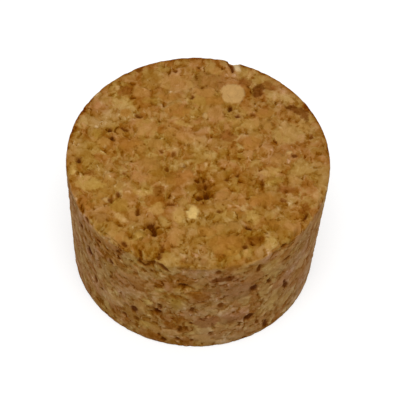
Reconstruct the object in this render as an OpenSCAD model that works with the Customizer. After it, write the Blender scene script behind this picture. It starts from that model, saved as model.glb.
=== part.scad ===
// Tapered stopper of agglomerated cork: one ground piece, wide end up.
// The origin is at the middle of the narrow end, with +Z along the axis. Millimetres.

/* [Body] */
// Diameter of the wide end
top_d = 45; // [34:0.5:60]
// Diameter of the narrow end, which goes into the jar
bottom_d = 41; // [32:0.5:56]
// Height from the narrow end to the wide end
height = 26; // [18:0.5:45]
// Radius that grinding leaves on the edge of the wide end
top_edge_r = 0.4; // [0.2:0.1:1.2]
// Radius that grinding leaves on the edge of the narrow end
bottom_edge_r = 0.6; // [0.2:0.1:1.2]

/* [Chip in the rim] */
// Where a crumb has broken out of the rim, in degrees from +X
chip_angle = 77; // [0:1:359]
// Length of the chip along the rim
chip_w = 2.6; // [1.6:0.1:4]
// How far the chip reaches in from the rim
chip_depth = 1.2; // [0.6:0.1:1.5]

/* [Voids between granules] */
// Depth of a void as a share of its mouth's radius
void_depth_share = 0.8; // [0.4:0.1:1]

/* [Hidden] */
$fn = 96;

top_r = top_d / 2;
bottom_r = bottom_d / 2;
// Angle between the ground side and the axis
taper = atan((top_r - bottom_r) / height);

// The larger voids in the wide end: [share of the top radius, degrees from +X, radius of the mouth].
TOP_VOIDS = [
    [0.345, -77, 0.9],
    [0.735, -115, 0.8],
    [0.730, 160, 0.6],
    [0.690, 166, 0.5],
    [0.905, -176, 0.7],
    [0.560, 67, 0.6],
    [0.735, -57, 0.7],
    [0.935, -28, 0.6],
    [0.720, -20, 0.5],
];

// The larger voids in the ground side: [share of the height, degrees from +X, radius of the mouth].
SIDE_VOIDS = [
    [0.765, -94, 0.7],
    [0.615, -61, 0.8],
    [0.625, -53, 0.6],
    [0.580, -144, 0.7],
    [0.385, -105, 0.7],
    [0.415, -43, 0.6],
    [0.275, -62, 0.7],
    [0.300, -117, 0.6],
    [0.640, -10, 0.7],
    [0.340, 25, 0.6],
    [0.700, 62, 0.7],
    [0.250, 95, 0.7],
    [0.560, 128, 0.6],
    [0.370, 163, 0.7],
];

// Points of an arc from one angle to another, about a centre in the profile's plane.
function arc(centre, radius, from_angle, to_angle, steps = 6) = [
    for (i = [0 : steps])
        let (a = from_angle + (to_angle - from_angle) * i / steps)
            centre + radius * [cos(a), sin(a)]
];

// Distance from a corner's edge to the centre of its arc, measured along the flat face,
// where the side leans out by lean degrees above that corner.
function arc_inset(radius, lean) = radius * tan(45 + lean / 2);

// Half of the section through the axis, with both edges rounded tangent to their faces.
function half_section() = concat(
    [[0, 0]],
    arc([bottom_r - arc_inset(bottom_edge_r, -taper), bottom_edge_r], bottom_edge_r, -90, -taper),
    arc([top_r - arc_inset(top_edge_r, taper), height - top_edge_r], top_edge_r, -taper, 90),
    [[0, height]]
);

// Radius of the side at a height above the narrow end.
function side_r(z) = bottom_r + (top_r - bottom_r) * z / height;

// A ball whose cap, of this mouth and depth, lies under the XY plane.
module void_cutter(mouth_r) {
    depth = mouth_r * void_depth_share;
    ball_r = (mouth_r * mouth_r + depth * depth) / (2 * depth);
    translate([0, 0, ball_r - depth])
        sphere(r = ball_r);
}

module top_voids() {
    for (v = TOP_VOIDS)
        rotate([0, 0, v[1]])
            translate([v[0] * top_r, 0, height])
                void_cutter(v[2]);
}

module side_voids() {
    for (v = SIDE_VOIDS)
        rotate([0, 0, v[1]])
            translate([side_r(v[0] * height), 0, v[0] * height])
                rotate([0, 90 + taper, 0])
                    void_cutter(v[2]);
}

// The crumb broken out of the rim: a deep end, and a shallower tail beside it.
module rim_chip() {
    ball_r = chip_w / 2;
    tail_r = ball_r * 0.75;
    tail_turn = atan(ball_r * 0.8 / top_r);
    rotate([0, 0, chip_angle])
        translate([top_r + ball_r - chip_depth, 0, height])
            sphere(r = ball_r);
    rotate([0, 0, chip_angle - tail_turn])
        translate([top_r + tail_r - chip_depth * 0.6, 0, height])
            sphere(r = tail_r);
}

module stopper() {
    color([0.60, 0.42, 0.19])
        difference() {
            rotate_extrude()
                polygon(half_section());
            top_voids();
            side_voids();
            rim_chip();
        }
}

stopper();
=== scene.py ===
import math

import bpy
import numpy as np
from mathutils import Euler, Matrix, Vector

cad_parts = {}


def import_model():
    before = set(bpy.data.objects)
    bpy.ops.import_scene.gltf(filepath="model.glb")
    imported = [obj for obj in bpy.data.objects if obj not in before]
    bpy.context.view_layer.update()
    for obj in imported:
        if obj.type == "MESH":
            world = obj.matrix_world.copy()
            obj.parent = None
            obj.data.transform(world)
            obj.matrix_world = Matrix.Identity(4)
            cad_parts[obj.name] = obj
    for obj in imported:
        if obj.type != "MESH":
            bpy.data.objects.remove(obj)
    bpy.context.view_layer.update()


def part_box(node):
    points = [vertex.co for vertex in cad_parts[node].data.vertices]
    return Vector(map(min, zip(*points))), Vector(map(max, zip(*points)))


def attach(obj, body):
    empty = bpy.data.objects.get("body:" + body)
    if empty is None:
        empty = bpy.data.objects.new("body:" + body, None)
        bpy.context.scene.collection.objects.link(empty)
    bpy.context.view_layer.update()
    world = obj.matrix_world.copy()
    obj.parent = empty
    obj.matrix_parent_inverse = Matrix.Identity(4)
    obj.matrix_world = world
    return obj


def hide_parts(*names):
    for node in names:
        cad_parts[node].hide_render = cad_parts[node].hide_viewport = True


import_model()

MM = 0.001
SEED = 11
# A distance, in mm, past which a placed granule or void has no effect.
FAR = 9.0

# ---------------------------------------------------------------- sizes, from the CAD model

low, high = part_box("stopper")
HEIGHT = (high.z - low.z) / MM
WIDE_R = (high.x - low.x) / 2 / MM
# How far the side leans in from the wide end to the narrow end.
LEAN_IN = 2.0
TAPER = math.atan(LEAN_IN / HEIGHT)
# Radii of the two edges before wear and relief.
TOP_EDGE_R = 0.2
BOTTOM_EDGE_R = 0.4
# Distance from a rim over which what marks it fades.
RIM_REACH = 0.9
# How worn the wide end's rim is, from 0 to 1, at some degrees from +X. The back isn't worn.
WEAR_AT = (-168, -150, -108, -88, -40, -20, -5)
WEAR = (0.0, 1.0, 1.0, 0.7, 0.95, 0.6, 0.0)
# Radius that full wear adds to the rim's edge, and the share by which it swells and shrinks along the rim.
WORN_R = 1.3
WORN_R_SWING = 0.3
# How far a missing crumb lowers the wide end's rim, and how much further where it is fully worn.
RIM_SINK = 0.1
WORN_SINK = 0.6

# Rings of vertices in each flat face. Ring k has 6 x k of them, so the rim has 6 x RINGS.
RINGS = 84
AROUND = 6 * RINGS
# Rows of faces down the side, and round each edge.
SIDE_ROWS = 102
EDGE_ROWS = 4
# Space in mm round each part of the map for baking.
MAP_GAP = 0.8


def side_r(z):
    """Radius of the ground side at a height."""
    widest_z = HEIGHT - TOP_EDGE_R * (1 + math.sin(TAPER))
    return WIDE_R - (widest_z - z) * math.tan(TAPER)


# ---------------------------------------------------------------- the blank, before its relief


def edge_arc(corner_r, corner_z, radius, start, end):
    """Rows round an edge between two angles in degrees: radius, height and the normal's two parts."""
    rows = []
    for k in range(1, EDGE_ROWS):
        a = math.radians(start + (end - start) * k / EDGE_ROWS)
        nr, nz = math.cos(a), math.sin(a)
        rows.append((corner_r + radius * nr, corner_z + radius * nz, nr, nz))
    return rows


def wall_rows():
    """Rows of the wall from the top face's last ring to the bottom face's last ring."""
    lean = math.degrees(TAPER)
    top_z = HEIGHT - TOP_EDGE_R
    top_centre = side_r(top_z - TOP_EDGE_R * math.sin(TAPER)) - TOP_EDGE_R * math.cos(TAPER)
    low_z = BOTTOM_EDGE_R
    low_centre = side_r(low_z - BOTTOM_EDGE_R * math.sin(TAPER)) - BOTTOM_EDGE_R * math.cos(TAPER)
    nr, nz = math.cos(TAPER), -math.sin(TAPER)
    z_from = top_z + TOP_EDGE_R * nz
    z_to = low_z + BOTTOM_EDGE_R * nz
    rows = edge_arc(top_centre, top_z, TOP_EDGE_R, 90, -lean)
    for k in range(SIDE_ROWS + 1):
        z = z_from + (z_to - z_from) * k / SIDE_ROWS
        rows.append((side_r(z), z, nr, nz))
    rows += edge_arc(low_centre, low_z, BOTTOM_EDGE_R, -lean, -90)
    return top_centre, low_centre, rows


def disc_points(radius):
    """Points of a flat face in rings, from its middle out, as an array of x and y."""
    points = [(0.0, 0.0)]
    for k in range(1, RINGS + 1):
        a = np.arange(6 * k) * (2 * math.pi / (6 * k))
        r = radius * k / RINGS
        points += list(zip(r * np.cos(a), r * np.sin(a)))
    return np.array(points)


def ring_start(k):
    """Index of the first point of ring k in disc_points."""
    return 0 if k == 0 else 1 + 3 * k * (k - 1)


def disc_faces():
    """Triangles between the rings of a flat face, seen from above."""
    faces = []
    for k in range(RINGS):
        inner, outer = ring_start(k), ring_start(k + 1)
        n_in, n_out = max(6 * k, 1), 6 * (k + 1)
        for sector in range(6):
            for j in range(k + 1):
                a = inner + (sector * k + j) % n_in
                b = outer + (sector * (k + 1) + j) % n_out
                c = outer + (sector * (k + 1) + j + 1) % n_out
                faces.append((a, b, c))
                if j < k:
                    d = inner + (sector * k + j + 1) % n_in
                    faces.append((a, c, d))
    return faces


def bake_places(disc, top, low_disc, profile):
    """Where each face's corners lie on a map for baking, from 0 to 1.

    The two flat faces lie side by side, and under them the side in two strips as wide as both."""
    top_r, low_r = profile[0][0], profile[-1][0]
    down = np.cumsum([0.0] + [math.dist(a, b) for a, b in zip(profile, profile[1:])])
    width = 2 * (top_r + low_r) + 3 * MAP_GAP
    height = 2 * (top_r + down[-1]) + 4 * MAP_GAP
    middle = height - top_r - MAP_GAP
    corners = np.array(disc)
    above = top[corners] + (MAP_GAP + top_r, middle)
    under = low_disc[corners[:, [0, 2, 1]]] * (-1, 1) + (width - MAP_GAP - low_r, middle)
    row, step = np.meshgrid(np.arange(len(profile) - 1), np.arange(AROUND), indexing="ij")
    strip = step // (AROUND // 2)
    wall = []
    for on, lower in ((0, 0), (0, 1), (1, 1), (1, 0)):
        along = (step + on) / (AROUND // 2) - strip
        x = MAP_GAP + along * (width - 2 * MAP_GAP)
        y = (strip + 1) * (MAP_GAP + down[-1]) - down[row + lower]
        wall.append(np.stack([x, y], axis=-1))
    wall = np.stack(wall, axis=2)
    return np.vstack([part.reshape(-1, 2) for part in (above, wall, under)]) / (width, height)


def blank():
    """The smooth stopper: its points, their normals, its faces as indices, and its map for baking."""
    top_r, low_r, rows = wall_rows()
    top = disc_points(top_r)
    low_disc = disc_points(low_r)
    count = len(top)
    a = np.arange(AROUND) * (2 * math.pi / AROUND)
    points = [np.column_stack([top, np.full(count, HEIGHT)])]
    normals = [np.tile((0.0, 0.0, 1.0), (count, 1))]
    for r, z, nr, nz in rows:
        points.append(np.column_stack([r * np.cos(a), r * np.sin(a), np.full(AROUND, z)]))
        normals.append(np.column_stack([nr * np.cos(a), nr * np.sin(a), np.full(AROUND, nz)]))
    points.append(np.column_stack([low_disc, np.zeros(count)]))
    normals.append(np.tile((0.0, 0.0, -1.0), (count, 1)))

    disc = disc_faces()
    faces = list(disc)
    rim = ring_start(RINGS)
    bottom = count + AROUND * len(rows)
    starts = [rim] + [count + AROUND * k for k in range(len(rows))] + [bottom + rim]
    for upper, lower in zip(starts, starts[1:]):
        for j in range(AROUND):
            k = (j + 1) % AROUND
            faces.append((upper + j, lower + j, lower + k, upper + k))
    faces += [(bottom + f[0], bottom + f[2], bottom + f[1]) for f in disc]
    profile = [(top_r, HEIGHT)] + [row[:2] for row in rows] + [(low_r, 0.0)]
    return np.vstack(points), np.vstack(normals), faces, bake_places(disc, top, low_disc, profile)


# ---------------------------------------------------------------- granules and voids placed one by one

# Tones as sRGB numbers from 0 to 255.
TONES = {
    "chalk": (200, 172, 128),
    "cream": (202, 168, 102),
    "pale": (178, 139, 84),
    "sand": (173, 131, 72),
    "fawn": (162, 121, 62),
    "straw": (170, 128, 62),
    "tan": (164, 117, 56),
    "pink": (162, 111, 56),
    "clay": (152, 105, 45),
    "olive": (152, 109, 40),
    "ochre": (152, 100, 36),
    "dun": (141, 93, 36),
    "rust": (135, 80, 24),
    "umber": (107, 56, 9),
}
# The cork's middle tone.
MIDDLE_TONE = (155, 107, 46)
# How whole a placed granule is, by its tone. The less whole, the more of the torn cork shows in it.
USUAL_WHOLE = 0.4
WHOLE = {
    "chalk": 1.0,
    "cream": 1.0,
    "pale": 1.0,
    "fawn": 0.5,
    "clay": 0.6,
    "umber": 0.0,
    "rust": 0.1,
    "dun": 0.1,
}

# On the wide end: tone, x, y, half length, half width, turn in degrees.
TOP_GRANULES = [
    ("pale", 5.3, 14.8, 2.0, 2.1, 0),
    ("chalk", 5.6, 20.8, 0.6, 0.9, 24),
    ("sand", 12.2, 14.7, 1.2, 1.0, 30),
    ("sand", 14.4, 14.5, 1.6, 0.8, -30),
    ("umber", 16.4, 12.1, 2.0, 0.8, -14),
    ("umber", 17.8, 10.8, 0.5, 1.1, 20),
    ("umber", 9.7, 15.8, 0.9, 1.8, -22),
    ("rust", 7.3, 17.4, 1.3, 1.1, 0),
    ("fawn", 15.0, 6.7, 2.9, 2.2, 12),
    ("tan", 17.7, 8.3, 1.2, 1.1, 0),
    ("ochre", 10.8, 11.0, 1.6, 1.0, 15),
    ("tan", 9.0, 8.6, 1.5, 1.2, 0),
    ("pink", 2.6, 10.2, 1.4, 1.7, 0),
    ("rust", 4.7, 5.5, 1.6, 1.2, -15),
    ("tan", 5.9, 8.6, 1.0, 0.8, 0),
    ("dun", 0.9, 17.2, 2.9, 2.3, 0),
    ("tan", -4.6, 16.4, 3.0, 1.7, 0),
    ("rust", -13.3, 14.0, 1.3, 1.1, 20),
    ("sand", -13.8, 11.2, 1.4, 1.3, 0),
    ("pink", -18.2, 11.0, 0.7, 1.2, 0),
    ("ochre", -5.8, 13.2, 1.6, 1.0, 0),
    ("olive", -8.9, 12.2, 1.3, 0.7, 10),
    ("tan", -9.3, 6.4, 1.8, 2.0, 20),
    ("ochre", -12.0, 2.3, 2.0, 0.8, 12),
    ("tan", -2.0, 4.6, 2.2, 1.1, -10),
    ("straw", -3.0, 7.6, 1.5, 0.6, -15),
    ("olive", -17.4, 4.4, 1.0, 1.0, 0),
    ("straw", -18.2, -6.4, 2.6, 1.4, 0),
    ("ochre", -18.4, -10.8, 1.2, 1.2, -20),
    ("rust", -18.3, -3.9, 0.9, 0.8, 0),
    ("pink", -9.6, -4.2, 1.9, 1.1, 0),
    ("straw", -9.3, -7.6, 1.4, 0.9, 0),
    ("rust", -6.5, -7.0, 1.1, 1.0, 0),
    ("ochre", -3.6, -4.2, 1.9, 1.5, 10),
    ("olive", -13.0, -10.6, 1.7, 1.5, 0),
    ("sand", -12.6, -13.2, 1.5, 0.7, -32),
    ("straw", -6.5, -11.0, 1.3, 1.2, 30),
    ("straw", -2.8, -12.1, 0.9, 1.8, 0),
    ("cream", -0.4, -11.3, 1.0, 1.25, 10),
    ("tan", -12.4, -17.6, 2.4, 1.2, -20),
    ("tan", -3.2, -16.4, 1.3, 2.1, 5),
    ("ochre", 5.6, -17.6, 3.0, 2.4, 0),
    ("ochre", 2.2, -15.0, 1.9, 1.1, 0),
    ("straw", 13.2, -16.8, 1.2, 1.7, 10),
    ("straw", 9.0, -19.0, 1.0, 1.0, 0),
    ("rust", 10.2, -16.2, 1.6, 0.9, 25),
    ("straw", 9.8, -11.4, 1.2, 1.5, 30),
    ("ochre", 13.4, -12.4, 1.2, 0.8, 0),
    ("pink", 16.6, -12.8, 1.7, 0.9, 12),
    ("ochre", 11.4, -7.6, 1.8, 1.4, 0),
    ("rust", 15.2, -5.3, 1.8, 0.6, 8),
    ("olive", 12.9, -3.6, 1.6, 0.9, 0),
    ("straw", 12.4, -1.6, 1.7, 1.1, 15),
    ("tan", 16.4, -2.8, 1.1, 1.0, 0),
    ("rust", 18.4, -8.8, 0.6, 1.3, -8),
    ("sand", 20.6, -6.0, 0.8, 1.3, -12),
    ("ochre", 9.6, -8.2, 0.9, 0.9, 0),
    ("ochre", 8.8, 4.2, 1.8, 1.5, 0),
    ("tan", 7.9, 11.3, 1.1, 1.0, 0),
    ("rust", 11.4, 16.9, 1.4, 0.9, -30),
    ("tan", 2.0, 19.4, 1.3, 1.0, 0),
    ("olive", -0.6, 12.9, 1.6, 1.2, 0),
    ("ochre", -4.0, 10.5, 2.3, 1.4, 10),
    ("tan", -10.4, 14.2, 1.6, 1.2, 15),
    ("ochre", -12.8, 9.2, 1.1, 1.0, 0),
    ("sand", -20.2, 6.6, 0.9, 1.7, 14),
    ("tan", -16.4, 2.8, 1.2, 1.1, 0),
    ("tan", -9.8, 1.6, 1.1, 0.9, 0),
    ("tan", -5.0, 5.8, 1.4, 1.1, 0),
    ("sand", 1.8, 1.2, 1.0, 0.9, 20),
    ("ochre", -1.4, -3.2, 1.1, 1.0, 0),
    ("straw", -21.2, -3.4, 0.7, 1.6, -8),
    ("dun", -15.8, -13.3, 1.2, 1.1, 0),
    ("tan", -10.3, -12.5, 1.1, 1.1, 0),
    ("dun", 0.4, -21.4, 2.4, 0.8, 0),
    ("ochre", 2.0, 13.1, 1.7, 1.1, 0),
    ("dun", 1.2, -5.2, 1.3, 1.7, 4),
    ("olive", -9.2, -16.6, 1.1, 1.0, 0),
    ("clay", 13.5, 1.2, 1.4, 1.2, 0),
    ("clay", -7.9, -1.3, 1.4, 1.5, 0),
    ("clay", 0.6, 14.9, 2.0, 1.3, 0),
    ("clay", 11.3, 8.8, 1.2, 1.0, 0),
    ("clay", 4.4, -7.2, 1.3, 1.1, 0),
    ("clay", 3.9, -14.3, 1.3, 1.2, 0),
    ("clay", 6.7, -13.4, 1.1, 1.0, 0),
    ("clay", -7.5, 2.9, 1.3, 1.2, 0),
    ("pale", -2.7, -1.1, 0.3, 0.5, 8),
    ("pale", -0.7, -3.1, 0.4, 0.5, 0),
    ("pale", 8.1, -9.7, 0.4, 0.5, 10),
    ("pale", 0.8, 9.6, 0.3, 0.5, 0),
    ("pale", -16.1, 2.0, 0.4, 0.5, 0),
    ("pale", 15.4, 2.8, 0.6, 0.4, 0),
    ("pale", -8.4, 8.0, 0.5, 0.4, 0),
    ("pale", -15.1, -9.7, 0.6, 0.5, 0),
    ("pale", 12.5, -14.9, 0.4, 0.7, 10),
    ("pale", -14.6, 14.6, 0.4, 0.4, 0),
]

# On the side: tone, degrees from +X, height, half length, half width, turn in degrees.
SIDE_GRANULES = [
    ("umber", -76, 21.4, 2.0, 0.8, 0),
    ("dun", -68, 16.5, 3.0, 2.6, 0),
    ("dun", -80, 18.6, 2.2, 1.8, 0),
    ("dun", -70, 8.4, 2.4, 1.8, 0),
    ("ochre", -130, 23.6, 2.0, 1.0, 0),
    ("olive", -96.5, 13.4, 1.0, 1.7, 0),
    ("tan", -106, 4.2, 1.5, 1.3, 0),
    ("tan", -84, 3.4, 1.6, 1.2, 10),
    ("ochre", -61, 19.6, 1.8, 1.6, 0),
    ("sand", -128, 7.2, 1.9, 1.2, 0),
    ("rust", -82, 8.2, 2.0, 1.8, 0),
    ("pink", -45, 13.5, 1.9, 1.2, 0),
    ("pink", -118, 17.6, 2.0, 0.9, 0),
    ("sand", -20, 7.4, 1.8, 1.2, 0),
    ("pale", 40, 14.0, 1.7, 1.2, 15),
    ("umber", 80, 9.4, 1.5, 1.0, 0),
    ("straw", 110, 19.0, 2.0, 1.0, -10),
    ("rust", 145, 6.0, 1.5, 0.9, 0),
    ("pink", 172, 17.4, 1.8, 1.3, 0),
    ("ochre", 5, 20.4, 1.6, 0.9, 0),
    ("dun", -89, 25.0, 2.6, 0.8, 0),
    ("sand", -98, 3.8, 2.1, 1.5, 0),
    ("straw", -111.5, 4.4, 1.6, 1.2, 0),
    ("sand", -40, 5.8, 1.8, 1.5, 0),
    ("pink", -54.5, 4.3, 1.4, 1.1, 0),
    ("sand", -53, 21.2, 1.9, 1.4, 0),
    ("sand", -64.5, 24.6, 1.6, 0.8, 0),
    ("straw", -68.5, 23.0, 1.4, 0.9, 0),
    ("sand", -31, 13.8, 1.8, 1.3, 0),
]

# Voids in the wide end: x, y, half length, half width, turn in degrees, depth.
TOP_VOIDS = [
    (4.7, 20.7, 0.28, 1.2, 22, 0.5),
    (-4.9, 19.0, 0.4, 0.35, 0, 0.3),
    (14.8, -7.6, 0.5, 0.35, 0, 0.3),
    (1.8, -7.3, 0.65, 0.8, -8, 0.7),
    (0.5, -7.9, 0.75, 0.45, 20, 0.5),
    (1.4, -5.4, 0.35, 0.6, 10, 0.5),
    (-7.4, -14.3, 0.8, 0.5, 20, 0.7),
    (-6.8, -15.5, 0.5, 1.1, 8, 0.8),
    (-15.5, 5.4, 0.5, 0.4, 0, 0.5),
    (-14.9, 3.6, 0.3, 0.55, 20, 0.6),
    (-20.3, -1.3, 0.4, 0.6, 0, 0.6),
    (-13.0, 5.8, 0.8, 0.3, -20, 0.4),
    (-10.6, 8.7, 0.7, 0.35, -25, 0.4),
    (4.9, 11.6, 0.35, 0.6, 0, 0.6),
    (6.2, 10.0, 0.5, 0.35, 0, 0.4),
    (8.9, 10.4, 0.5, 0.35, -30, 0.3),
    (9.1, -13.8, 0.75, 0.35, -32, 0.6),
    (18.7, -10.6, 0.4, 0.8, -10, 0.6),
    (15.2, -5.5, 0.4, 0.3, 0, 0.3),
    (4.2, -10.6, 0.45, 0.35, 0, 0.4),
    (5.0, -3.9, 0.35, 0.35, 0, 0.4),
    (6.8, -2.7, 0.3, 0.35, 0, 0.4),
    (11.1, -4.1, 0.3, 0.6, 10, 0.4),
    (8.7, -17.7, 0.35, 0.5, -10, 0.4),
    (-5.3, -2.2, 0.3, 0.6, 10, 0.3),
    (-12.4, -3.7, 0.4, 0.35, 0, 0.2),
    (-13.2, -8.2, 0.35, 0.5, 0, 0.4),
    (-9.7, -11.8, 0.3, 0.8, 0, 0.4),
    (-4.3, -9.8, 0.8, 0.35, 0, 0.3),
    (-6.4, 1.3, 0.3, 0.35, 0, 0.2),
    (-4.2, 1.0, 0.45, 0.35, 0, 0.25),
    (-1.7, 13.5, 0.35, 0.4, 0, 0.4),
    (-11.1, 18.9, 0.5, 0.5, 0, 0.3),
    (16.3, 2.1, 0.5, 0.4, 0, 0.4),
    (19.0, 6.4, 0.35, 0.5, 0, 0.3),
    (-5.7, -20.8, 0.42, 1.1, -6, 0.45),
    (-5.2, -19.3, 0.35, 0.7, 12, 0.4),
    (-11.6, -18.5, 0.8, 0.35, -32, 0.4),
    (-14.4, -9.6, 0.35, 0.6, 10, 0.3),
]

# Voids in the side: degrees from +X, height, half length, half width, turn in degrees, depth.
SIDE_VOIDS = [
    (-93.5, 19.7, 0.85, 0.6, 0, 0.6),
    (-60.6, 15.9, 0.8, 1.1, 15, 0.7),
    (-52.8, 16.2, 0.4, 0.9, 12, 0.5),
    (-144, 15.6, 0.8, 1.2, 12, 0.6),
    (-105, 9.9, 0.7, 0.9, 0, 0.6),
    (-103.8, 11.6, 0.3, 0.8, 6, 0.5),
    (-42.5, 12.4, 0.35, 1.0, 14, 0.5),
    (-41.0, 10.6, 0.5, 1.0, 14, 0.5),
    (-61.3, 7.0, 1.0, 1.0, -20, 0.6),
    (-56.2, 4.3, 0.35, 0.7, 0, 0.3),
    (-116.6, 7.9, 0.7, 1.0, -12, 0.5),
    (-115.5, 5.2, 0.4, 0.6, 0, 0.3),
    (-76.2, 13.1, 0.5, 0.8, 0, 0.3),
    (-89, 12.0, 0.4, 0.9, 0, 0.4),
    (-94, 5.6, 0.4, 1.0, 0, 0.4),
    (-91, 6.1, 0.35, 0.8, 0, 0.3),
    (-95, 2.4, 0.45, 0.5, 0, 0.4),
    (-101.7, 1.4, 0.55, 0.6, 0, 0.5),
    (-79.5, 4.4, 0.35, 0.6, 0, 0.3),
    (-50.6, 1.8, 0.6, 1.3, 10, 0.5),
    (-122, 4.8, 0.5, 0.5, 0, 0.4),
    (-112.3, 23.5, 0.9, 0.42, -20, 0.4),
    (-108.3, 24.4, 1.4, 0.4, 55, 0.4),
    (-102.5, 24.4, 1.4, 0.4, -46, 0.4),
    (-124, 23.2, 0.6, 0.4, 0, 0.4),
    (-144, 24.7, 0.6, 0.4, 0, 0.4),
    (-59.5, 22.0, 0.4, 1.0, 0, 0.4),
    (-47, 25.0, 0.6, 0.5, 0, 0.4),
    (-44, 20.2, 0.9, 0.5, -10, 0.3),
    (-78.5, 23.9, 0.5, 0.6, 0, 0.3),
    (-69.5, 20.4, 0.35, 0.5, 0, 0.3),
    (-128.5, 18.7, 0.4, 0.7, 10, 0.4),
    (-137, 20.7, 0.5, 0.6, 0, 0.3),
    (-151, 19.8, 0.6, 0.9, 10, 0.5),
    (-140.5, 8.6, 0.5, 1.0, 0, 0.4),
    (-37, 4.6, 0.5, 0.4, 0, 0.4),
    (-10, 16.6, 0.8, 0.9, 10, 0.6),
    (-24, 11.6, 0.5, 0.6, 0, 0.4),
    (10, 4.4, 0.5, 0.7, 0, 0.4),
    (25, 8.8, 0.7, 0.8, 0, 0.5),
    (48, 22.0, 0.6, 0.6, 0, 0.4),
    (62, 18.2, 0.8, 0.9, -15, 0.6),
    (95, 6.5, 0.7, 0.9, 0, 0.6),
    (104, 14.2, 0.5, 0.8, 20, 0.4),
    (128, 14.6, 0.6, 0.8, 20, 0.5),
    (150, 22.6, 0.5, 0.6, 0, 0.4),
    (163, 9.6, 0.7, 0.9, 0, 0.6),
    (-175, 3.8, 0.5, 0.6, 0, 0.4),
]

# Shallow worn hollows in the wide end: x, y, half length, half width, turn in degrees, depth.
TOP_DENTS = [
    (1.1, -5.4, 1.6, 3.2, 4, 0.4),
    (-6.9, -14.9, 1.2, 1.8, 10, 0.25),
    (-5.0, -3.0, 1.4, 1.4, 0, 0.2),
    (-7.2, -21.6, 2.0, 0.8, -8, 0.2),
    (9.6, -16.4, 1.6, 1.4, 0, 0.25),
    (18.6, -9.8, 0.9, 1.9, -8, 0.3),
]

# Crumbs broken out of the wide end's rim, as balls cut away: x, y, height and radius.
CHIP_BALLS = [
    (5.2, 22.35, 26.1, 1.15),
    (5.8, 22.0, 26.5, 0.85),
]


def linear(tone):
    """A tone of TONES, or three sRGB numbers, as linear light."""
    numbers = np.array(TONES[tone] if isinstance(tone, str) else tone) / 255
    return [float(x / 12.92 if x <= 0.04045 else ((x + 0.055) / 1.055) ** 2.4) for x in numbers]


def paint(tone):
    """A tone as an opaque colour for a socket."""
    return (*linear(tone), 1)


def oval_distance(along, across, half_length, half_width, turn):
    """Distance from the edge of a turned oval, negative inside it."""
    c, s = math.cos(math.radians(turn)), math.sin(math.radians(turn))
    u, v = along * c + across * s, across * c - along * s
    k = np.hypot(u / half_length, v / half_width)
    slope = np.hypot(u / half_length**2, v / half_width**2)
    return (k - 1) * k / np.maximum(slope, 1e-6)


def side_distance(points, degrees, height, length, width, turn):
    """Distance from the edge of an oval laid on the side, negative inside it."""
    x, y, z = points.T
    off = (np.degrees(np.arctan2(y, x)) - degrees + 180) % 360 - 180
    d = oval_distance(np.radians(off) * side_r(height), z - height, length, width, turn)
    return np.where(np.abs(off) < 20, d, FAR)


def placed_granules(points, on_top, on_side):
    """For each point the nearest placed granule: its edge's distance, its tint and how whole it is."""
    distance, whole = np.full(len(points), FAR), np.zeros(len(points))
    tint = np.ones((len(points), 3))
    x, y = points[:, 0], points[:, 1]
    placed = [(g[0], on_top, oval_distance(x - g[1], y - g[2], *g[3:])) for g in TOP_GRANULES]
    placed += [(g[0], on_side, side_distance(points, *g[1:])) for g in SIDE_GRANULES]
    for tone, face, d in placed:
        nearer = face & (d < distance)
        distance[nearer] = d[nearer]
        whole[nearer] = WHOLE.get(tone, USUAL_WHOLE)
        tint[nearer] = np.divide(linear(tone), linear(MIDDLE_TONE))
    return distance, tint, whole


def placed_voids(points, on_top, on_side):
    """For each point the nearest void: its edge's distance and its depth."""
    distance, depth = np.full(len(points), FAR), np.zeros(len(points))
    x, y = points[:, 0], points[:, 1]
    placed = [(v[5], on_top, oval_distance(x - v[0], y - v[1], *v[2:5])) for v in TOP_VOIDS]
    placed += [(v[5], on_side, side_distance(points, *v[:5])) for v in SIDE_VOIDS]
    for deep, face, d in placed:
        nearer = face & (d < distance)
        distance[nearer], depth[nearer] = d[nearer], deep
    return distance, depth


def dents(points, on_top):
    """How deep each point lies in a worn hollow."""
    depth = np.zeros(len(points))
    for x, y, length, width, turn, deep in TOP_DENTS:
        d = oval_distance(points[:, 0] - x, points[:, 1] - y, length, width, turn)
        slope = np.clip(0.5 - d / (2 * min(length, width)), 0, 1)
        depth = np.maximum(depth, np.where(on_top, deep * slope * slope * (3 - 2 * slope), 0))
    return depth


def cut_balls(points, balls):
    """Moves the points that lie in any ball out to its surface. Returns how far each one moved."""
    start = points.copy()
    for cx, cy, cz, r in balls:
        away = points - (cx, cy, cz)
        d = np.linalg.norm(away, axis=1)
        inside = d < r
        points[inside] = (cx, cy, cz) + away[inside] * (r / d[inside])[:, None]
    return np.linalg.norm(points - start, axis=1)


def rim_wear(points):
    """How worn the wide end's rim is, at each point's place round the axis."""
    return np.interp(np.degrees(np.arctan2(points[:, 1], points[:, 0])), WEAR_AT, WEAR)


def round_rim(points, normals, wear):
    """Rounds the wide end's rim, by moving the points near it and turning their normals."""
    swing = WORN_R_SWING * np.sin(points[:, 0] * 1.9 + 1) * np.cos(points[:, 1] * 1.3)
    radius = TOP_EDGE_R + WORN_R * wear * (1 + swing)
    out = np.hypot(points[:, 0], points[:, 1])
    centre_r, centre_z = side_r(HEIGHT) - radius, HEIGHT - radius
    u, v = out - centre_r, points[:, 2] - centre_z
    n = np.hypot(u, v)
    near = (u > 0) & (v > 0) & (n > radius)
    out, u, v, n = out[near], u[near], v[near], n[near]
    outward = points[near, :2] / out[:, None]
    points[near, :2] = outward * (centre_r[near] + radius[near] * u / n)[:, None]
    points[near, 2] = centre_z[near] + radius[near] * v / n
    normals[near] = np.column_stack([outward * (u / n)[:, None], v / n])


# ---------------------------------------------------------------- nodes, for shaders and geometry alike

HALF = (0.5, 0.5, 0.5)


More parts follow.
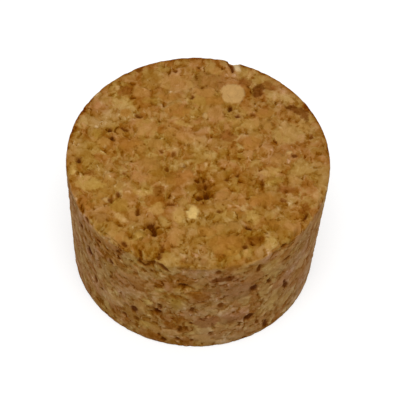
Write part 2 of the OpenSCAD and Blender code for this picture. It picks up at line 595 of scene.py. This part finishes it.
class Graph:
    """Adds nodes to a tree. add returns the new node, and the methods after put return its outputs."""

    def __init__(self, tree):
        self.tree = tree

    def add(self, kind, *values, **settings):
        """A new node, with its settings and, in order, its inputs.

        An input is a socket to link, a plain value, or None to leave as it is."""
        node = self.tree.nodes.new(kind)
        for name, value in settings.items():
            setattr(node, name, value)
        for k, value in enumerate(values):
            self.put(node.inputs[k], value)
        return node

    def put(self, socket, value):
        if isinstance(value, bpy.types.NodeSocket):
            self.tree.links.new(value, socket)
        elif value is not None:
            socket.default_value = value

    def math(self, operation, *values, clamp=False):
        return self.add("ShaderNodeMath", *values, operation=operation, use_clamp=clamp).outputs[0]

    def times(self, total, *others):
        """All of them multiplied."""
        for other in others:
            total = self.math("MULTIPLY", total, other)
        return total

    def plus(self, total, value, weight):
        """total + value x weight."""
        return self.math("MULTIPLY_ADD", value, weight, total)

    def summed(self, total, parts, weights):
        """total, with each part that weights names added by its weight."""
        for name, weight in weights.items():
            total = self.plus(total, parts[name], weight)
        return total

    def vector(self, operation, *values):
        node = self.add("ShaderNodeVectorMath", *values, operation=operation)
        return node.outputs["Value" if operation in ("DOT_PRODUCT", "DISTANCE") else "Vector"]

    def scaled(self, vector, by):
        node = self.add("ShaderNodeVectorMath", vector, operation="SCALE")
        self.put(node.inputs["Scale"], by)
        return node.outputs["Vector"]

    def split(self, vector):
        return self.add("ShaderNodeSeparateXYZ", vector).outputs

    def noise(self, at, scale, detail=2.0, rough=0.5, output=0):
        """Noise from 0 to 1, or with output=1 a vector of three such numbers."""
        node = self.add("ShaderNodeTexNoise", at)
        for name, value in (("Scale", scale), ("Detail", detail), ("Roughness", rough)):
            node.inputs[name].default_value = value
        return node.outputs[output]

    def centred(self, value):
        """A value from 0 to 1, moved to run from -0.5 to 0.5."""
        return self.math("SUBTRACT", value, 0.5)

    def swing(self, at, scale, detail=2.0, rough=0.5):
        """Noise from -0.5 to 0.5."""
        return self.centred(self.noise(at, scale, detail, rough))

    def cells(self, at, feature="F1"):
        node = self.add("ShaderNodeTexVoronoi", at, feature=feature)
        node.inputs["Scale"].default_value = 1.0
        return node.outputs

    def ramp(self, value, low, high, to_low=0.0, to_high=1.0):
        """value carried smoothly from low..high to to_low..to_high."""
        node = self.add("ShaderNodeMapRange", value, low, high, to_low, to_high)
        node.interpolation_type = "SMOOTHSTEP"
        return node.outputs[0]

    def mix(self, factor, a, b):
        node = self.add("ShaderNodeMix", factor, data_type="FLOAT")
        self.put(node.inputs[2], a)
        self.put(node.inputs[3], b)
        return node.outputs[0]

    def mix_vector(self, factor, a, b):
        node = self.add("ShaderNodeMix", factor, data_type="VECTOR")
        self.put(node.inputs[4], a)
        self.put(node.inputs[5], b)
        return node.outputs[1]

    def mix_colour(self, factor, a, b, blend="MIX"):
        node = self.add("ShaderNodeMix", factor, data_type="RGBA", blend_type=blend)
        self.put(node.inputs[6], a)
        self.put(node.inputs[7], b)
        return node.outputs[2]

    def tinted(self, tone, factor, low, high):
        """tone, multiplied by a colour between two as factor goes from 0 to 1."""
        return self.mix_colour(1.0, tone, self.mix_colour(factor, (*low, 1), (*high, 1)), "MULTIPLY")

    def colours(self, value, stops):
        """A colour ramp through (place, sRGB numbers) stops."""
        node = self.add("ShaderNodeValToRGB", value)
        ramp = node.color_ramp
        while len(ramp.elements) < len(stops):
            ramp.elements.new(0.5)
        for element, (place, tone) in zip(ramp.elements, stops):
            element.position = place
            element.color = paint(tone)
        return node.outputs[0]


# ---------------------------------------------------------------- the granules

# Sizes of granule in mm, each with the share of its cells that hold one whole granule.
SIZES = [(0.85, 1.0), (1.6, 0.5), (2.9, 0.3)]
# How fine the granules are along each axis, where 1 means the sizes above.
PRESSED = (1.05, 0.82, 0.75)
# How far flakes and pits turn towards each axis.
UPRIGHT = (1.0, 1.8, 1.8)
# Distance over which a granule's tone passes into the next one's.
SOFT = 0.3


def bent(g, at):
    """Places shifted a little, so that the cells' straight borders turn ragged."""
    wide = g.vector("SUBTRACT", g.noise(at, 0.45, detail=1.0, output=1), HALF)
    fine = g.vector("SUBTRACT", g.noise(at, 2.2, output=1), HALF)
    shifted = g.vector("ADD", at, g.scaled(wide, 1.6))
    shifted = g.vector("ADD", shifted, g.scaled(fine, 0.6))
    return g.vector("MULTIPLY", shifted, PRESSED)


def granules(g, at, chunky):
    """The random numbers of each place's granule, those of the one beside it, and its border's distance.

    The sizes are laid over each other, from the smallest to the largest."""
    number, other, border = None, None, None
    for k, (size, share) in enumerate(SIZES):
        place = g.vector("ADD", g.scaled(at, 1 / size), (7.3 * k + SEED, 3.1 * k, 11.7 * k))
        near, after = g.cells(place), g.cells(place, "F2")
        apart = g.vector("DISTANCE", near["Position"], after["Position"])
        d1, d2 = near["Distance"], after["Distance"]
        gap = g.math("SUBTRACT", g.times(d2, d2), g.times(d1, d1))
        gap = g.math("DIVIDE", gap, g.math("MAXIMUM", g.times(apart, 2 / size), 1e-4))
        if number is None:
            number, other, border = near["Color"], after["Color"], gap
            continue
        # Where the cork is chunky, more of the cells hold one whole granule.
        least = g.plus(1 - share, chunky, -0.5 * share)
        whole = g.math("GREATER_THAN", g.split(near["Color"])[2], least)
        beside = g.math("GREATER_THAN", g.split(after["Color"])[2], least)
        closer = g.times(beside, g.math("LESS_THAN", gap, border))
        outside = g.mix_vector(closer, other, after["Color"])
        inside = g.mix_vector(beside, number, after["Color"])
        other = g.mix_vector(whole, outside, inside)
        number = g.mix_vector(whole, number, near["Color"])
        border = g.mix(whole, g.mix(closer, border, gap), gap)
    return number, other, border


def oval(g, away, heading, length, width):
    """How deep a place lies in an oval along heading, from 0 at its edge to 1 in its middle."""
    along = g.vector("DOT_PRODUCT", away, heading)
    along = g.times(along, along)
    across = g.math("SUBTRACT", g.vector("DOT_PRODUCT", away, away), along)
    reach = g.plus(g.times(along, 1 / length**2), across, 1 / width**2)
    return g.math("SUBTRACT", 1.0, g.math("SQRT", g.math("MAXIMUM", reach, 0.0)), clamp=True)


def pairs(g, at, spacing, share, length, width, offset):
    """How deep a place lies in each oval of a pair that lie side by side.

    The pairs are scattered, and each has its own direction and size."""
    place = g.vector("ADD", g.scaled(at, 1 / spacing), (offset, 2 * offset, -offset))
    near = g.cells(place)
    parts = g.split(near["Color"])
    away = g.scaled(g.vector("SUBTRACT", place, near["Position"]), spacing)
    away = g.scaled(away, g.ramp(parts[1], 0.0, 1.0, 1.9, 0.8))
    turn = g.add("ShaderNodeTexWhiteNoise", near["Color"]).outputs["Color"]
    heading = g.vector("MULTIPLY", g.vector("SUBTRACT", turn, HALF), UPRIGHT)
    heading = g.vector("NORMALIZE", heading)
    beside = g.vector("CROSS_PRODUCT", heading, g.vector("SUBTRACT", near["Color"], HALF))
    beside = g.scaled(g.vector("NORMALIZE", beside), 0.75 * width)
    there = g.math("LESS_THAN", parts[0], share)
    first = oval(g, g.vector("ADD", away, beside), heading, length, width)
    second = oval(g, g.vector("SUBTRACT", away, beside), heading, length, width)
    return g.times(first, there), g.times(second, there)


def ragged(g, at, mark, whole):
    """A placed granule's edge made ragged, and the least on a whole one."""
    sway = g.times(g.swing(at, 0.7, detail=1.0), 1.2)
    wobble = g.swing(at, 2.2, detail=3.0)
    return g.math("ADD", mark, g.plus(sway, wobble, g.plus(1.1, whole, -0.7)))


def rim_marks(g, curved, y, z, rim):
    """Crumbs missing from the rims, and a dark line painted along their edge, most at the wide end's back.
    """
    nick = g.times(rim, g.ramp(g.noise(curved, 0.6), 0.42, 0.64))
    edge = g.times(g.math("POWER", rim, 2.6), g.ramp(g.noise(curved, 0.4), 0.3, 0.55))
    edge = g.times(edge, g.ramp(y, -6.0, 10.0), g.ramp(z, 6.0, 20.0, 0.2, 1.0))
    return nick, edge


def structure(g, at, mark, whole, void, rim):
    """What the relief and the colour both read, by name."""
    curved = bent(g, at)
    _, y, z = g.split(at)
    # The front of the wide end is torn in bigger lumps.
    chunky = g.times(g.ramp(y, -6.5, -15.0), g.ramp(z, 24.6, 25.6))
    number, other, border = granules(g, curved, chunky)
    # A placed granule has a border of its own. The more whole it is, the fewer others cross it.
    mark = ragged(g, at, mark, whole)
    inside_mark = g.ramp(mark, 0.3, -0.3)
    off_mark = g.math("ABSOLUTE", mark)
    marked = g.mix(inside_mark, g.math("MINIMUM", border, off_mark), off_mark)
    border = g.mix(whole, border, marked)
    number = g.mix_vector(g.ramp(border, SOFT, 0.0, 0.0, 0.5), number, other)
    smooth = g.times(inside_mark, whole)
    plain = g.plus(1.0, smooth, -0.8)
    # The torn surface: lumps and dips of about a millimetre, over and across the granules.
    crumb = g.mix(g.times(smooth, 0.6), g.noise(curved, 0.95, detail=3.0), 0.5)
    # Broken thin gaps, and hollows where crumbs fell out along the borders. The colour darkens both with
    # painted shade.
    groove = g.times(g.ramp(border, 0.22, 0.02), g.ramp(crumb, 0.56, 0.42))
    loose = g.vector("ADD", curved, g.noise(at, 1.6, output=1))
    hollow = g.ramp(pairs(g, loose, 1.25, 0.62, 0.8, 0.5, 5.0)[0], 0.0, 0.6)
    # Torn flakes, each with a pale lip and a dark pit under it. Over the real lift and dip, the colour
    # gives the lip a painted highlight and the pit a painted shadow.
    lip, pit = pairs(g, loose, 1.45, 0.75, 0.65, 0.4, 9.0)
    nick, edge = rim_marks(g, curved, y, z, rim)
    void = g.math("ADD", void, g.swing(at, 1.5, detail=3.0))
    return dict(
        at=curved,
        number=number,
        crumb=crumb,
        dome=g.ramp(border, 0.0, 0.5),
        groove=groove,
        gap=g.times(g.ramp(border, 0.4, 0.05), chunky),
        hollow=g.times(hollow, plain, g.ramp(border, 0.55, 0.2)),
        lip=g.times(g.ramp(lip, 0.0, 0.7), plain),
        pit=g.times(g.ramp(pit, 0.0, 0.7), plain),
        nick=nick,
        edge=edge,
        mark=inside_mark,
        void=g.ramp(void, 0.22, -0.24),
        stain_and_shade=g.ramp(void, 0.3, -0.2),
        middle=g.ramp(void, 0.1, -0.3),
        chunky=chunky,
    )


# ---------------------------------------------------------------- relief, as geometry

# How far parts of the structure lift the surface, in mm.
LIFTS = {"dome": 0.08, "groove": -0.05, "gap": -0.09, "hollow": -0.18, "lip": 0.08, "pit": -0.2}


def relief_tree(name):
    """Geometry nodes that press the cork's relief into the blank, along its own normals."""
    tree = bpy.data.node_groups.new(name, "GeometryNodeTree")
    tree.interface.new_socket("Geometry", in_out="INPUT", socket_type="NodeSocketGeometry")
    tree.interface.new_socket("Geometry", in_out="OUTPUT", socket_type="NodeSocketGeometry")
    g = Graph(tree)
    start, end = g.add("NodeGroupInput"), g.add("NodeGroupOutput")

    def attribute(title, kind="FLOAT"):
        return g.add("GeometryNodeInputNamedAttribute", title, data_type=kind).outputs["Attribute"]

    at = attribute("rest_mm", "FLOAT_VECTOR")
    s = structure(g, at, attribute("mark"), attribute("whole"), attribute("void"), attribute("rim"))
    height = g.plus(attribute("proud"), g.centred(g.split(s["number"])[1]), 0.10)
    height = g.plus(height, g.centred(s["crumb"]), 0.5)
    height = g.summed(height, s, LIFTS)
    height = g.math("SUBTRACT", height, g.times(attribute("void_depth"), s["void"]))
    height = g.math("SUBTRACT", height, attribute("dent"))
    height = g.math("MINIMUM", height, attribute("ceiling"))
    height = g.times(height, attribute("relief"))
    # Where crumbs are missing from a rim, it also moves in along the axis.
    sunk = g.times(s["nick"], attribute("rim_sink"))
    sunk = g.add("ShaderNodeCombineXYZ", 0.0, 0.0, sunk).outputs[0]
    offset = g.vector("ADD", g.scaled(attribute("rest_normal", "FLOAT_VECTOR"), height), sunk)
    move = g.add("GeometryNodeSetPosition")
    g.put(move.inputs["Geometry"], start.outputs["Geometry"])
    g.put(move.inputs["Offset"], g.scaled(offset, MM))
    g.put(end.inputs["Geometry"], move.outputs["Geometry"])
    return tree


# ---------------------------------------------------------------- the material

# Cork from its darkest to its palest.
CORK_TONES = [
    (0.00, (95, 44, 0)),
    (0.20, (121, 70, 4)),
    (0.38, (137, 89, 25)),
    (0.52, (149, 104, 44)),
    (0.70, (164, 121, 66)),
    (1.00, (198, 159, 112)),
]
# A void's dark middle and brown edge are partly the dark bark in it and partly painted shade in the hole.
VOID_TONE = (78, 30, 0)
VOID_EDGE_TONE = (116, 62, 2)
DUST_AND_SHEEN_TONE = (157, 122, 91)
# A direction towards which the cork grows paler and greyer.
PALER_TOWARDS = (0.5, 0.6, 0.0)
CHIP_TONE = (206, 176, 128)
SHEEN_TONE = (214, 168, 88)
# How much paler parts of the structure are. A lip's paleness is a painted highlight. The darkness of
# grooves, gaps, hollows and pits is painted shade in the low places. The edge is a dark line painted along
# the rim.
PALER = {
    "groove": -0.12,
    "gap": -0.07,
    "hollow": -0.25,
    "lip": 0.26,
    "pit": -0.33,
    "nick": -0.08,
    "edge": -0.38,
}
# How far parts of the structure lift the bump, which adds what is too fine for the mesh.
BUMPS = {"dome": 0.05, "groove": -0.05, "lip": 0.06, "pit": -0.06}


def ground_share(g, s, inset):
    """1 on the ground side and 0 on the torn ends, with an uneven border that a worn rim pushes down."""
    ground = g.plus(inset, g.swing(s["rest"], 0.9), g.plus(2.6, s["worn"], 2.2))
    return g.ramp(g.math("SUBTRACT", ground, g.plus(0.25, s["worn"], 0.85)), -0.3, 0.5)


def granule_paleness(g, s):
    """How much paler a granule is than the middle tone."""
    own = g.times(g.centred(g.split(s["number"])[0]), 0.30)
    own = g.plus(own, g.centred(s["drift"]), 0.2)
    own = g.plus(own, g.swing(s["at"], 0.33, detail=1.0), 0.28)
    own = g.times(own, g.plus(1.0, s["ground"], 0.45))
    return g.times(own, g.plus(1.0, s["mark"], -0.7))


def inner_paleness(g, s, dent):
    """How much paler a place is than the rest of its granule."""
    # Growth lines: noise stretched across a direction of each granule's own.
    lean = g.vector("SUBTRACT", s["number"], HALF)
    along = g.vector("DOT_PRODUCT", s["at"], lean)
    lines = g.vector("ADD", g.scaled(s["at"], 0.9), g.scaled(lean, g.times(along, 5.0)))
    # The torn surface's dips are darker and its lumps paler: partly the binder's own colour, partly painted
    # shade and highlight.
    within = g.times(g.centred(s["crumb"]), 0.74)
    within = g.plus(within, g.swing(lines, 1.0, detail=3.0, rough=0.6), 0.32)
    within = g.plus(within, g.centred(s["grain"]), 0.15)
    within = g.summed(within, s, PALER)
    within = g.times(within, g.plus(0.94, s["ground"], 0.16))
    # A worn hollow is darker, as painted shade.
    return g.plus(within, dent, -0.5)


def leaning(g, s, own, tone):
    """tone, leaning by granule to pink or to olive, and by patch to yellow or to grey, most on the side."""
    patch = g.ramp(g.noise(s["rest"], 0.2, detail=3.0), 0.32, 0.68)
    pink = g.plus(g.mix(0.35, g.split(s["number"])[1], patch), s["chunky"], -0.2)
    pink = g.ramp(g.plus(pink, own, -1.2), 0.1, 0.9)
    tone = g.tinted(tone, pink, (0.962, 1.042, 0.9), (1.038, 0.958, 1.06))
    grey = g.ramp(g.noise(s["at"], 0.5), 0.3, 0.7)
    tone = g.tinted(tone, grey, (1.0, 1.0, 0.94), (1.0, 1.0, 1.06))
    broad = g.swing(g.vector("ADD", s["rest"], (40.0, 0.0, 0.0)), 0.16)
    broad = g.times(broad, g.plus(0.6, s["ground"], 0.7))
    return g.tinted(tone, g.ramp(broad, -0.4, 0.4), (1.0, 1.0, 0.6), (1.0, 1.0, 1.5))


def dust_and_sheen_share(g, s, pale, tint):
    """How thick the dust lies that grinding leaves on the side and the rims, and handling spreads, with
    painted sheen that pales the side's left and right ends.
    """
    dust_and_sheen_level = g.times(s["ground"], g.ramp(s["drift"], 0.36, 0.62, 0.45, 1.55))
    dust_and_sheen_level = g.plus(dust_and_sheen_level, s["rim"], g.plus(0.5, s["worn"], -0.7))
    dust_and_sheen_level = g.plus(dust_and_sheen_level, g.vector("DOT_PRODUCT", s["rest"], PALER_TOWARDS), 0.014)
    # The side's left and right ends are paler still, as painted sheen.
    dust_and_sheen_level = g.plus(dust_and_sheen_level, g.times(s["ends"], s["ground"]), 1.2)
    # Most lies on the paler, prouder cork, and little on a dark granule.
    dust_and_sheen_level = g.times(g.math("MAXIMUM", dust_and_sheen_level, 0.0), g.ramp(pale, 0.1, 0.65, 0.02, 0.2))
    dark = g.ramp(g.split(tint)[0], 0.75, 0.45, 0.0, 0.9)
    return g.times(dust_and_sheen_level, g.math("SUBTRACT", 1.0, g.times(s["mark"], dark)))


def cork_material(name):
    mat = bpy.data.materials.new(name)
    mat.use_nodes = True
    g = Graph(mat.node_tree)
    shader = mat.node_tree.nodes["Principled BSDF"]

    def attribute(title, output="Fac"):
        return g.add("ShaderNodeAttribute", attribute_name=title).outputs[output]

    at, whole, rim = attribute("rest_mm", "Vector"), attribute("whole"), attribute("rim")
    s = structure(g, at, attribute("mark"), whole, attribute("void"), rim)
    s.update(rest=at, rim=rim, worn=attribute("rim_wear"))
    s["ground"] = ground_share(g, s, attribute("inset"))
    # 1 at the far left and right of the stopper, along X, where the side is painted paler as sheen.
    s["ends"] = g.ramp(g.math("ABSOLUTE", g.split(at)[0]), 12.0, 22.0)
    s["drift"] = g.noise(at, 0.12, detail=1.0)
    s["grain"] = g.noise(g.vector("MULTIPLY", s["at"], (1.0, 0.8, 0.8)), 5.0)
    # How pale the cork is: a middle, what is the same over a granule, and what varies within it. The middle
    # is paler at the side's left and right ends, as painted sheen.
    middle = g.plus(0.541, g.times(s["ends"], s["ground"]), 0.13)
    middle = g.plus(middle, s["chunky"], 0.025)
    own = granule_paleness(g, s)
    within = inner_paleness(g, s, attribute("dent"))
    pale = g.math("ADD", g.math("ADD", middle, own), within)
    tone = leaning(g, s, own, g.colours(pale, CORK_TONES))
    # A placed granule tints the cork. The more whole it is, the less of the cork's own colours shows in it.
    smooth = g.scaled(tuple(linear(MIDDLE_TONE)), g.plus(1.0, within, 1.3))
    placed = g.mix_colour(whole, tone, smooth)
    placed = g.mix_colour(1.0, attribute("mark_colour", "Color"), placed, "MULTIPLY")
    tone = g.mix_colour(g.times(s["mark"], 0.9), tone, placed)
    # Dust, and painted sheen at the side's ends, pale the cork.
    tone = g.mix_colour(dust_and_sheen_share(g, s, pale, attribute("mark_colour", "Vector")), tone, paint(DUST_AND_SHEEN_TONE))
    # The deeper a void, the darker its bottom, as painted shade.
    deep = g.times(s["middle"], g.ramp(attribute("void_depth"), 0.2, 0.6, 0.3, 1.0))
    hole = g.mix_colour(deep, paint(VOID_EDGE_TONE), paint(VOID_TONE))
    tone = g.mix_colour(g.times(s["stain_and_shade"], 0.92), tone, hole)
    fresh = g.times(attribute("chip"), g.ramp(s["crumb"], 0.3, 0.55, 0.5, 1.0))
    tone = g.mix_colour(fresh, tone, paint(CHIP_TONE))
    g.put(shader.inputs["Base Color"], tone)
    g.put(shader.inputs["Roughness"], g.ramp(pale, 0.1, 0.9, 0.98, 0.8))
    shader.inputs["Specular IOR Level"].default_value = 0.01
    shader.inputs["Sheen Weight"].default_value = 0.06
    shader.inputs["Sheen Roughness"].default_value = 0.25
    shader.inputs["Sheen Tint"].default_value = paint(SHEEN_TONE)

    bump = g.add("ShaderNodeBump")
    bump.inputs["Distance"].default_value = MM
    bump.inputs["Strength"].default_value = 1.0
    g.put(bump.inputs["Height"], g.summed(g.times(s["grain"], 0.08), s, BUMPS))
    g.put(shader.inputs["Normal"], bump.outputs[0])
    return mat


# ---------------------------------------------------------------- the stopper


def store(mesh, title, values):
    """Gives each point of a mesh its number, vector or colour from an array."""
    values = np.asarray(values, np.float32)
    width = values.size // len(values)
    kind, field = {1: ("FLOAT", "value"), 3: ("FLOAT_VECTOR", "vector"), 4: ("FLOAT_COLOR", "color")}[width]
    mesh.attributes.new(title, kind, "POINT").data.foreach_set(field, values.ravel())


def pressed(piece):
    """The piece's mesh, with the relief pressed in."""
    piece.modifiers.new("relief", "NODES").node_group = relief_tree("cork_relief")
    dg = bpy.context.evaluated_depsgraph_get()
    shape = piece.evaluated_get(dg)
    return bpy.data.meshes.new_from_object(shape, preserve_all_data_layers=True, depsgraph=dg)


def stopper():
    points, normals, faces, places = blank()
    on_top = (points[:, 2] > HEIGHT - 0.15) & (normals[:, 2] > 0.5)
    on_side = np.abs(normals[:, 2]) < 0.5
    under = normals[:, 2] < -0.5
    mark, tint, whole = placed_granules(points, on_top, on_side)
    void, depth = placed_voids(points, on_top, on_side)
    dent = dents(points, on_top)
    # How near each point is to either rim, from 0 to 1.
    out = np.hypot(points[:, 0], points[:, 1])
    to_top = np.where(on_top, WIDE_R - out, HEIGHT - points[:, 2])
    to_low = np.where(under, side_r(0) - out, points[:, 2])
    to_rim = np.minimum(to_top, to_low)
    by_top = to_top < to_low
    rim = np.exp(-((to_rim / RIM_REACH) ** 2))
    wear = rim_wear(points)
    round_rim(points, normals, wear)
    moved = cut_balls(points, CHIP_BALLS)
    # The relief is calmer on the ground side, in the chip and at a rim. The wide end's front stays rougher.
    ground = np.clip(1 - np.abs(normals[:, 2]) * 1.2, 0, 1)
    calm = np.where(by_top, np.interp(points[:, 1], (-16, -6), (0.3, 0.7)), 0.7)
    relief = (1 - 0.35 * ground) * (1 - calm * rim) * np.clip(1 - moved, 0.3, 1)
    fields = {
        "rest_mm": points,
        "rest_normal": normals,
        "mark": mark,
        "mark_colour": np.column_stack([tint, np.ones(len(points))]),
        "whole": whole,
        "void": void,
        "void_depth": depth,
        "dent": dent,
        "rim": rim,
        # How far a point lies in from a rim on the side. It is negative on the ends.
        "inset": np.where(on_side, to_rim, -to_rim),
        "rim_wear": np.where(by_top, wear, 0.0),
        "rim_sink": np.where(by_top, -RIM_SINK - WORN_SINK * wear, 0.0),
        "chip": np.clip(moved / 0.12, 0, 1),
        "relief": relief,
        # The relief's middle lies on the CAD surface, and under the narrow end all of it lies inside.
        "proud": np.where(under, -0.10, 0.12),
        "ceiling": np.where(under, 0.0, 0.3),
    }
    mesh = bpy.data.meshes.new("stopper_cork")
    mesh.from_pydata((points * MM).tolist(), [], faces)
    mesh.polygons.foreach_set("use_smooth", [True] * len(mesh.polygons))
    for title, values in fields.items():
        store(mesh, title, values)
    piece = bpy.data.objects.new("stopper_cork", mesh)
    bpy.context.scene.collection.objects.link(piece)
    final = pressed(piece)
    piece.modifiers.clear()
    piece.data = final
    final.materials.append(cork_material("cork"))
    # The map for baking, under this name.
    final.uv_layers.new(name="OFBake").data.foreach_set("uv", places.ravel())
    return piece


piece = stopper()
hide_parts("stopper")
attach(piece, "root")

# ---------------------------------------------------------------- stage, light and camera

# The floor's hole, in mm, is a little smaller than the narrow end. Its outer radius is in metres.
FLOOR_HOLE_R = 20.4
FLOOR_R = 3.0
FLOOR_STEPS = 96
# The camera's place and aim in mm, its roll in degrees and its lens, set to the photo's view.
CAMERA_PLACE = (0, -550.55, 737.96)
CAMERA_AIM = (0.679, 0, 14.902)
CAMERA_ROLL = 3.37
CAMERA_LENS = 475.6


def background_share(g):
    """1 for the rays that show the background, and 0 for those that light the stopper."""
    path = g.add("ShaderNodeLightPath")
    seen = g.math("MAXIMUM", path.outputs["Is Camera Ray"], path.outputs["Is Glossy Ray"])
    return g.math("MAXIMUM", seen, path.outputs["Is Transmission Ray"])


def floor_material(name):
    """A plain pale card that looks white, keeps the shadow, and is clear from below."""
    mat = bpy.data.materials.new(name)
    mat.use_nodes = True
    mat.node_tree.nodes.clear()
    g = Graph(mat.node_tree)
    card = g.add("ShaderNodeBsdfDiffuse", (0.55, 0.55, 0.55, 1))
    white = g.add("ShaderNodeBsdfDiffuse", (0.45, 0.45, 0.45, 1))
    lift = g.add("ShaderNodeEmission", (1, 1, 1, 1), 0.6)
    shown = g.add("ShaderNodeAddShader", white.outputs[0], lift.outputs[0])
    mixed = g.add("ShaderNodeMixShader", background_share(g), card.outputs[0], shown.outputs[0])
    below = g.add("ShaderNodeNewGeometry").outputs["Backfacing"]
    clear = g.add("ShaderNodeBsdfTransparent")
    surface = g.add("ShaderNodeMixShader", below, mixed.outputs[0], clear.outputs[0])
    g.add("ShaderNodeOutputMaterial", surface.outputs[0])
    return mat


def floor():
    """A plain floor, open under the stopper, where nothing shows, so that light reaches the narrow end."""
    corners, quads = [], []
    for k in range(FLOOR_STEPS):
        a = 2 * math.pi * k / FLOOR_STEPS
        for r in (FLOOR_HOLE_R * MM, FLOOR_R):
            corners.append((r * math.cos(a), r * math.sin(a), 0))
        after = (k + 1) % FLOOR_STEPS
        quads.append((2 * k, 2 * k + 1, 2 * after + 1, 2 * after))
    mesh = bpy.data.meshes.new("floor")
    mesh.from_pydata(corners, [], quads)
    mesh.materials.append(floor_material("floor"))
    ob = bpy.data.objects.new("floor", mesh)
    bpy.context.scene.collection.objects.link(ob)


def world(strength):
    """Even light from all round, and a white background behind."""
    scene_world = bpy.data.worlds.new("studio")
    bpy.context.scene.world = scene_world
    scene_world.use_nodes = True
    scene_world.node_tree.nodes.clear()
    g = Graph(scene_world.node_tree)
    soft = g.add("ShaderNodeBackground", (1, 1, 1, 1), strength)
    white = g.add("ShaderNodeBackground", (1, 1, 1, 1), 1.0)
    mixed = g.add("ShaderNodeMixShader", background_share(g), soft.outputs[0], white.outputs[0])
    g.add("ShaderNodeOutputWorld", mixed.outputs[0])


def lamp(name, place, aim, size, power):
    """A round soft lamp. Its place, aim and size are in metres, and its power is in watts."""
    light = bpy.data.lights.new(name, "AREA")
    light.shape = "DISK"
    light.size = size
    light.energy = power
    ob = bpy.data.objects.new(name, light)
    ob.location = place
    ob.rotation_euler = (Vector(aim) - Vector(place)).to_track_quat("-Z", "Y").to_euler()
    bpy.context.scene.collection.objects.link(ob)


def camera():
    data = bpy.data.cameras.new("camera")
    data.sensor_width = 36
    data.lens = CAMERA_LENS
    data.clip_start, data.clip_end = 0.05, 20
    ob = bpy.data.objects.new("camera", data)
    place = Vector(CAMERA_PLACE) * MM
    aim = Vector(CAMERA_AIM) * MM
    roll = Euler((0, 0, math.radians(CAMERA_ROLL))).to_quaternion()
    ob.location = place
    ob.rotation_euler = ((aim - place).to_track_quat("-Z", "Y") @ roll).to_euler()
    bpy.context.scene.collection.objects.link(ob)
    bpy.context.scene.camera = ob


floor()
world(0.74)
lamp("key", (0.0, -0.3, 0.8), (0, 0, 0.015), 0.5, 3.6)
camera()
bpy.context.scene.view_settings.view_transform = "Standard"
